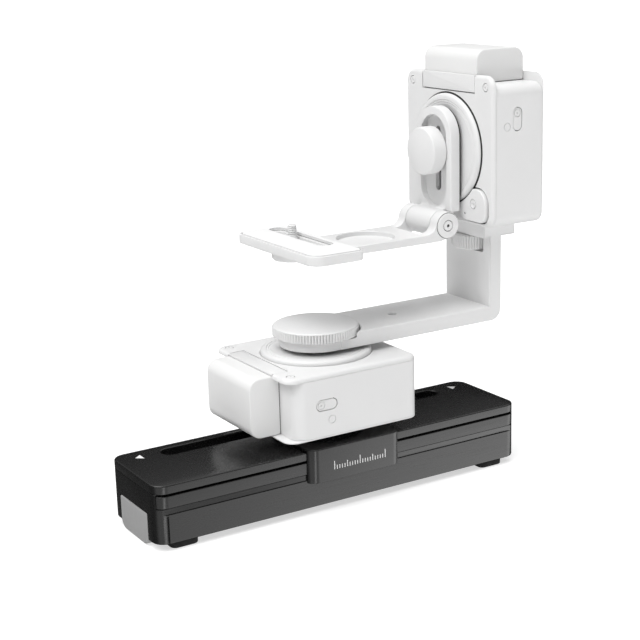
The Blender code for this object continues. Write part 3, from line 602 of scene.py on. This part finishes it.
def build_corner_pad(name, body, at, outline):
    """The raised pad beside the turntable, with its screw."""
    screw = (33.4, 29.8, 0)
    piece(name + "_corner_pad", prism(outline, -1.5, 2.2, bevel=0.6, low=0.0), body, SHELL,
          at,
          cut=[cyl(DISC_R + 1.5, -2, 4, seg=FINE), cyl(3.3, 1.2, 4, centre=screw),
               cyl(0.9, 0.8, 4, centre=(40.6, 21.0, 0))], soft=0.2)
    head = [(0, 1.1), (2.85, 1.1), (2.85, 2.1), (2.6, 2.3), (1.5, 2.3), (1.4, 1.9), (0.5, 1.9),
            (0.45, 1.3), (0, 1.3)]
    piece(name + "_pad_screw", turned(head, 48, "Z", screw), body, METAL_WHITE, at)


def build_head_pack(name, at):
    outline = rrect(-HEAD_BAT - PACK_OUT, -44.1, -40.0, -1.6, (1.6, 7.5, 7.5, 1.6), 12)
    piece(name + "_pack_case", prism(outline, -PACK_L / 2, PACK_L / 2, "Y", bevel=0.9),
          name + "_pack", PLASTIC_WHITE, at, hide=[name + "_battery"])


def build_head_keys(name, at):
    """The two side buttons, each with a ring and a dot cut into it."""
    outline = pill(PILL_X, PILL_Z, PILL_L - 1.0, PILL_W - 1.0)
    dot = (PILL_X - 3.8, 0, PILL_Z)
    for label, s in (("a", -1), ("b", 1)):
        a, b = sorted((s * (HEAD_Y - 0.9), s * (HEAD_Y + 1)))
        piece("%s_key_%s" % (name, label), side_prism(outline, s, -0.4, 1.7),
              "%s_key_%s" % (name, label), PLASTIC_WHITE, at,
              cut=[ring(2.2, 2.65, a, b, "Y", dot, 40), cyl(0.7, a, b, "Y", dot, 20)],
              hide=["%s_button_%s" % (name, label)])


def build_disc(name, at, rotor):
    """The turntable: round edge, double groove and a hub."""
    disc = [(0, 0.4), (9.0, 0.4), (9.0, -1.2), (DISC_R - 0.2, -1.2), (DISC_R, -0.9)]
    disc += edge_arc(DISC_R, 3.0, 2.4, 8)
    disc += [(32.3, 3.0), (31.9, 2.5), (31.3, 2.5), (31.1, 2.8), (30.7, 2.8), (30.4, 2.4),
             (29.9, 2.4), (29.6, 2.65), (27.0, 2.4), (HUB_R, 2.3), (HUB_R, HUB_Z), (3.6, HUB_Z),
             (3.6, 0.4)]
    piece(name + "_disc", turned(disc, 192), rotor, METAL_WHITE, at,
          hide=[name + "_turntable"], sharp=24.0)
    # near-black ring round the hub, painted shade between the seat and the disc
    piece(name + "_hub_shade_ring", turned([(HUB_R, 2.2), (HUB_R + 0.9, 2.2), (HUB_R + 0.9, 4.8),
                                      (HUB_R, 4.8)]), rotor, PAINTED_SHADE, at)


def build_head(name, body, at, rotor, gap):
    build_head_shell(name, body, at)
    build_head_lid(name, body, at, gap)
    build_head_pack(name, at)
    build_head_keys(name, at)
    build_disc(name, at, rotor)


def build_tilt_gap():
    """Dark floor and ring, painted shade in the wider gap round the tilt turntable."""
    piece("tilt_dark_floor", ring(30.0, 37.0, -1.7, -1.5, seg=FINE), "pan_rotor", PAINTED_SHADE,
          TILT)
    piece("tilt_shadow_ring", ring(34.0, DISC_R + 0.25, -1.3, 0.6, seg=FINE), "tilt_rotor", PAINTED_SHADE,
          TILT)


# ---- L-bracket and knobs ----------------------------------------------------------------------

def build_bracket():
    half, base, top = 24.5, 97.6, 107.6                     # the bar under the pan knob
    up0, up1, crest = 124.4, 134.4, 155.0                   # the upright
    shelf0, shelf1, shelf_top = 119.4, 145.7, 165.5         # the shelf under the tilt head
    bend = 8.0
    outline = [(AXIS_X + 4.0, top), (AXIS_X + 4.0, base)]
    for k in range(13):
        a = math.radians(-90 + 7.5 * k)
        outline.append((up1 - bend + bend * math.cos(a), base + bend + bend * math.sin(a)))
    outline += [(up1, crest), (shelf1, crest), (shelf1, shelf_top), (shelf0, shelf_top),
                (shelf0, crest), (up0, crest), (up0, top)]
    bar = prism(outline, AXIS_Y - half, AXIS_Y + half, "Y", bevel=0.9, steps=4)
    floor = base + 6.05                                     # under the knob
    seat = turned([(0, base + 0.05), (half - 1.0, base + 0.05), (half - 0.2, base + 0.8),
                   (half - 0.2, base + 5.4), (half - 0.8, floor), (0, floor)], FINE, "Z",
                  (AXIS_X, AXIS_Y, 0))
    knob_well = turned([(0, floor + 0.05), (28.7, floor + 0.05), (29.2, base + 6.6),
                        (29.2, top - 0.6), (29.8, top), (29.8, top + 5), (0, top + 5)], FINE, "Z",
                       (AXIS_X, AXIS_Y, 0))
    window = rrect(AXIS_Y - 17.7, AXIS_Y + 17.7, 143.6, crest + 0.02, (0, 0, 1.6, 1.6), 6)
    cuts = [knob_well, prism(window, up0 - 1, up1 + 1, "X"),
            cyl(3.4, base - 1, base + 8, centre=(AXIS_X, AXIS_Y, 0)),
            countersunk(2.9, top - 5, top, 0.5, (62.0, AXIS_Y, 0)),
            cyl(4.9, crest - 1, shelf_top + 1, centre=(THUMB_X, AXIS_Y, 0))]
    piece("l_bracket_fine", bar, "pan_rotor", METAL_WHITE, add=[seat], cut=cuts,
          hide=["l_bracket"], soft=0.35)


def build_bracket_knobs():
    """The pan knob's domed head has 88 ribs, the thumb wheel 44."""
    profile = [(0, 98.2), (3.0, 98.2), (3.0, 104), (26.8, 104), (27.3, 104.3), (28.0, 104.6),
               (28.0, 107.2), (28.0, 109.7), (27.3, 109.9), (27.5, 110.1), (27.3, 110.5),
               (26.7, 110.8), (25.4, 111.0), (22.0, 111.3), (14.0, 111.8), (6.0, 111.98),
               (0, 112.0)]
    piece("pan_knob_fine", turned(profile, 704, "Z", (AXIS_X, AXIS_Y, 0), 88, 1.6,
                                  (104.5, 109.8)), "pan_clamp", METAL_WHITE,
          hide=["pan_knob"], sharp=50.0)
    low, top = THUMB_LOW, THUMB_TOP
    wheel = [(0, low), (12.6, low), (13.2, low + 0.5), (14.0, low + 1.0), (14.0, (low + top) / 2),
             (14.0, top - 1.0), (13.2, top - 0.5), (12.6, top), (4.5, top), (4.5, 167.6),
             (0, 167.6)]
    piece("thumb_wheel_fine", turned(wheel, 352, "Z", (THUMB_X, AXIS_Y, 0), 44, 1.1,
                                     (low + 0.9, top - 0.9)), "thumb_clamp", METAL_WHITE,
          hide=["thumb_wheel"], sharp=50.0)


# ---- camera arm, hinge and plate --------------------------------------------------------------

def build_camera_arm():
    x0, x1, half, top, low = 96.6, 103.7, 19.4, 222.8, 174.8
    arc = [(AXIS_Y + half * math.cos(math.radians(a)), top + half * math.sin(math.radians(a)))
           for a in range(0, 181, 4)]

    def arch(foot):
        """The arm's outline in Y and Z, straight down to the given height."""
        return arc + [(AXIS_Y - half, foot), (AXIS_Y + half, foot)]
    plate = prism(arch(low), x0, x1, "X", bevel=0.5, low=0.8, steps=4)
    wide, slim = 14.1, 2.9                                  # half widths of pocket and slot
    pocket = rrect(AXIS_Y - wide, AXIS_Y + wide, 190.0 - wide, top + wide, wide - 0.005, 20)
    slot = rrect(AXIS_Y - slim, AXIS_Y + slim, 189.2 - slim, 226.0 + slim, slim - 0.005, 10)
    # the web runs from the arm's foot to the hinge barrel, outline in X and Z
    bar = 13.4
    barrel = prism(circle(HINGE_X, HINGE_Z, HINGE_R, 72), AXIS_Y - bar, AXIS_Y + bar, "Y",
                   bevel=0.5)
    web = [(x1 - 0.05, 181.2), (x0 + 0.02, 181.2)]
    web += [(93.6 + 3.0 * math.cos(math.radians(a)), 178.6 + 3.0 * math.sin(math.radians(a)))
            for a in range(-1, -98, -8)]
    web += [(HINGE_X + 2.0, HINGE_Z), (HINGE_X + HINGE_R * 0.78, HINGE_Z - HINGE_R * 0.45),
            (x1 - 0.05, 171.5)]
    web_solid = prism(web, AXIS_Y - bar + 0.02, AXIS_Y + bar - 0.02, "Y", bevel=0.3)
    piece("camera_arm_fine", plate, "arm", METAL_WHITE,
          add=[web_solid, barrel], cut=[prism(pocket, x0 - 3, 100.7, "X"),
                                        prism(slot, 95, 106, "X")],
          hide=["camera_arm"], soft=0.3)
    # dark frame behind the arm's edge, painted shade along the arm's edge, open at the bottom where
    # it passes the hub
    frame_solid = prism(inset(arch(180.0), 0.6), x1 - 0.05, x1 + 1.1, "X")
    piece("arm_edge_shade_frame", frame_solid, "arm", PAINTED_SHADE,
          cut=[prism(inset(arch(170.0), 2.0), x1 - 2, x1 + 3, "X")])


def build_arm_knob():
    face, back, rim = 86.0, 100.4, 15.7
    knob = [(0, back), (10.0, back), (10.0, 96.2), (rim - 0.5, 96.2), (rim, 95.6),
            (rim, face + 1.4), (rim - 0.15, face + 0.85), (rim - 0.6, face + 0.35),
            (rim - 1.3, face + 0.05), (0, face)]
    piece("arm_knob_fine", turned([(r, -x) for r, x in knob], FINE, "-X", (0, AXIS_Y, TILT_Z)),
          "arm_clamp", METAL_WHITE, hide=["arm_knob"])


def hinge_ear():
    """The ear's circle runs down into the plate through a hollow curve; points in X and Z."""
    out = [(HINGE_X + HINGE_R * math.cos(math.radians(a)),
            HINGE_Z + HINGE_R * math.sin(math.radians(a))) for a in range(-100, 169, 6)]
    hollow = 8.0
    out += [(75.36 + hollow * math.cos(math.radians(a)),
             170.15 + hollow * math.sin(math.radians(a))) for a in range(-14, -91, -7)]
    return out + [(72.0, MOUNT_TOP - 0.05), (72.0, MOUNT_LOW + 0.05),
                  (HINGE_X - 5.0, MOUNT_LOW + 0.05)]


def build_camera_plate():
    z0, z1 = MOUNT_LOW, MOUNT_TOP
    half, bar = EAR_OUT, 13.6
    wide = prism(rrect(-20.0, 18.4, -28.5, 73.0, (4.0, 9.5, 9.5, 5.5), 14), z0, z1 + 0.8,
                 bevel=0.6, low=0.8)
    neck_end = HINGE_X - 17.0
    neck = prism([(17.9, AXIS_Y + half), (17.9, AXIS_Y - half), (neck_end, AXIS_Y - half),
                  (neck_end, AXIS_Y + half)], z0 + 0.05, z1 - 0.05, bevel=0.6)
    ears = []
    for s in (-1, 1):
        a, b = sorted((s * (bar + 0.3), s * half))
        ears.append(prism(hinge_ear(), AXIS_Y + a, AXIS_Y + b, "Y", bevel=0.5))
    slot = rrect(SCREW_X - 3.8, SCREW_X + 3.8, -1.0, 66.0, 3.795, 12)
    step = inset(slot, -1.9)
    mat_line = rrect(-18.0, 16.9, -26.5, 71.0, (3.0, 8.0, 8.0, 4.2), 12)
    cuts = [prism(slot, z0 - 1, z1 + 2), prism(step, z1 - 1.2, z1 + 2),
            prism(inset(mat_line, -0.6), z1 - 0.6, z1 + 2),
            countersunk(19.0, z1 - 2.9, z1, 0.4, (42.0, AXIS_Y, 0), FINE)]
    piece("camera_plate_fine", wide, "plate", METAL_WHITE, add=[neck] + ears,
          cut=cuts, hide=["camera_plate"], soft=0.2)
    # near-black sheet under the mat's edge, painted shade in the gap round the mat
    piece("mat_edge_shade", prism(inset(mat_line, -0.5), z1 - 0.75, z1 - 0.5), "plate", PAINTED_SHADE,
          cut=[prism(step, z0, z1 + 3)])
    piece("camera_mat", prism(mat_line, z1 - 0.6, z1 + 1.2, bevel=0.35, low=0.0), "plate",
          MAT_RUBBER, cut=[prism(step, z0, z1 + 3)], hide=["camera_pad"])


def build_hinge_caps():
    """Turned caps on the ears, with dark rings in their grooves, a dark ring round the rim and a
    dark dot, painted shade.
    """
    cap = [(0, -0.2), (8.2, -0.2), (8.2, 0.6), (7.9, 0.85), (3.9, 0.85), (3.7, 0.2), (3.4, 0.2),
           (3.2, 0.9), (3.0, 1.05), (1.15, 1.05), (1.05, 0.2), (0, 0.2)]
    for label, s in (("near", -1), ("far", 1)):
        face = AXIS_Y + s * EAR_OUT
        piece("hinge_cap_" + label, turned(cap, 96, "Y" if s > 0 else "-Y",
                                           (HINGE_X, face, HINGE_Z)),
              "plate", METAL_WHITE, hide=["hinge_pin"] if s < 0 else [])
        # near-black inserts in the groove, round the rim and in the centre recess, painted shade
        for part, r_in, r_out, up in (("rim", 8.2, 8.55, 0.1), ("groove", 3.4, 3.7, 0.35),
                                      ("dot", 0.0, 1.1, 0.35)):
            lo, hi = sorted((face - s * 0.1, face + s * up))
            at = (HINGE_X, 0, HINGE_Z)
            insert = ring(r_in, r_out, lo, hi, "Y", at) if r_in else cyl(r_out, lo, hi, "Y", at)
            piece("hinge_%s_%s" % (part, label), insert, "plate", PAINTED_SHADE)


def build_camera_screw():
    """Quarter-inch screw: a round grip under the plate and five thread turns above it."""
    screw = [(0, -10.0), (12.6, -10.0), (13.5, -9.2), (13.9, -8.2), (13.9, -1.3), (13.3, -0.6),
             (12.7, -0.4), (3.3, -0.4), (3.3, 5.5)]
    pitch, crest, root = 1.27, 3.17, 2.72
    for k in range(5):
        z = 5.9 + pitch * k
        screw += [(crest, z), (root, z + 0.5), (root, z + 0.66), (crest, z + 1.14)]
    screw += [(2.6, 12.7), (0, 12.8)]
    piece("camera_screw_fine", turned(screw, 96, "Z", (SCREW_X, 43.0, MOUNT_LOW)), "screw",
          METAL_WHITE, hide=["camera_screw"])


# ---- stage ------------------------------------------------------------------------------------

def build_stage():
    """A white table that glows a little, and a soft overhead light."""
    reach = 30.0                                            # metres
    bm = bmesh.new()
    for x, y in ((-1, -1), (1, -1), (1, 1), (-1, 1)):
        bm.verts.new((x * reach, y * reach, 0.0))
    bm.faces.new(bm.verts)
    floor = to_object(bm, "studio_floor")
    n = Nodes("lit_table", grey(0.55), 0.9)
    n.tint(n.noise(3.0, 3.0), grey(0.54), grey(0.56))
    n.bump(n.noise(900.0), 0.05, 0.0001)
    n.set(Specular_IOR_Level=0.1, Emission_Color=(1.0, 1.0, 1.0, 1.0), Emission_Strength=0.6)
    floor.data.materials.append(n.mat)
    floor.visible_glossy = False
    build_world()
    sun = bpy.data.lights.new("overhead_bank", "SUN")
    sun.energy, sun.angle = 2.2, math.radians(48)
    obj = bpy.data.objects.new("overhead_bank", sun)
    obj.rotation_euler = Vector((0.48, 0.13, -0.87)).to_track_quat("-Z", "Y").to_euler()
    bpy.context.scene.collection.objects.link(obj)
    bpy.context.scene.view_settings.view_transform = "Standard"


def build_world():
    """Bright overhead, dark round the horizon, and lit zones low at the front."""
    world = bpy.data.worlds.new("studio")
    bpy.context.scene.world = world
    world.use_nodes = True
    tree = world.node_tree
    back = tree.nodes["Background"]
    back.inputs["Color"].default_value = (1.0, 1.0, 1.0, 1.0)
    axes = tree.nodes.new("ShaderNodeSeparateXYZ")
    tree.links.new(tree.nodes.new("ShaderNodeTexCoord").outputs["Generated"], axes.inputs[0])

    def ramp(source, start, end, lo, hi):
        node = tree.nodes.new("ShaderNodeMapRange")
        node.interpolation_type = "SMOOTHSTEP"
        for key, value in (("From Min", start), ("From Max", end), ("To Min", lo),
                           ("To Max", hi)):
            node.inputs[key].default_value = value
        tree.links.new(source, node.inputs["Value"])
        return node.outputs["Result"]

    def maths(kind, a, b):
        node = tree.nodes.new("ShaderNodeMath")
        node.operation = kind
        tree.links.new(a, node.inputs[0])
        tree.links.new(b, node.inputs[1])
        return node.outputs[0]

    x, y, z = (axes.outputs[k] for k in "XYZ")
    overhead = ramp(z, 0.35, 0.8, 0.02, 1.08)
    low = ramp(z, -0.1, 0.05, 1.0, 0.0)
    right = ramp(x, 0.15, 0.7, 0.9, 3.0)
    front = ramp(y, 0.1, -0.4, 0.03, 1.0)
    # a narrow upright strip gives the round corners their highlight
    strip = maths("MULTIPLY", ramp(x, -0.36, -0.24, 0.0, 3.0), ramp(x, -0.16, -0.04, 1.0, 0.0))
    lit = maths("MULTIPLY", maths("MULTIPLY", low, maths("ADD", right, strip)), front)
    # the camera itself sees plain white past the floor's edge
    seen = tree.nodes.new("ShaderNodeLightPath").outputs["Is Camera Ray"]
    painted = maths("ADD", overhead, lit)
    tree.links.new(maths("MAXIMUM", painted, seen), back.inputs["Strength"])


def build_camera():
    """Camera 31 degrees to the left of the front and 15 above, rolled by 1.6."""
    data = bpy.data.cameras.new("camera")
    data.sensor_width, data.lens = 36.0, 80.33
    data.clip_start, data.clip_end = 0.05, 60.0
    cam = bpy.data.objects.new("camera", data)
    fwd = Vector((0.49786, 0.82795, -0.25815)).normalized()
    side = fwd.cross(Vector((0, 0, 1))).normalized()
    up = side.cross(fwd)
    roll = math.radians(-1.62)
    right = side * math.cos(roll) + up * math.sin(roll)
    upward = up * math.cos(roll) - side * math.sin(roll)
    where = (Vector((-452.4, -753.6, 350.0)) + SHIFT) * MM
    cam.matrix_world = Matrix((
        (right.x, upward.x, -fwd.x, where.x), (right.y, upward.y, -fwd.y, where.y),
        (right.z, upward.z, -fwd.z, where.z), (0, 0, 0, 1)))
    bpy.context.scene.collection.objects.link(cam)
    bpy.context.scene.camera = cam


def finish_cad_nodes():
    """CAD nodes that still show get their slot's material."""
    slots = {s["node"]: s["material_slot"] for s in frame["record"]["subparts"]}
    for name, node in frame["nodes"].items():
        node.data.materials.clear()
        node.data.materials.append(BY_SLOT[slots[name]])
        node.data.shade_smooth()
        node.data.set_sharp_from_angle(angle=math.radians(32))


finish_cad_nodes()
build_base()
build_carriage()
build_head("pan", "carriage_unit", PAN, "pan_rotor", 0.4)
build_head("tilt", "pan_rotor", TILT, "tilt_rotor", 1.0)
build_tilt_gap()
build_bracket()
build_bracket_knobs()
build_camera_arm()
build_arm_knob()
build_camera_plate()
build_hinge_caps()
build_camera_screw()
build_stage()
build_camera()
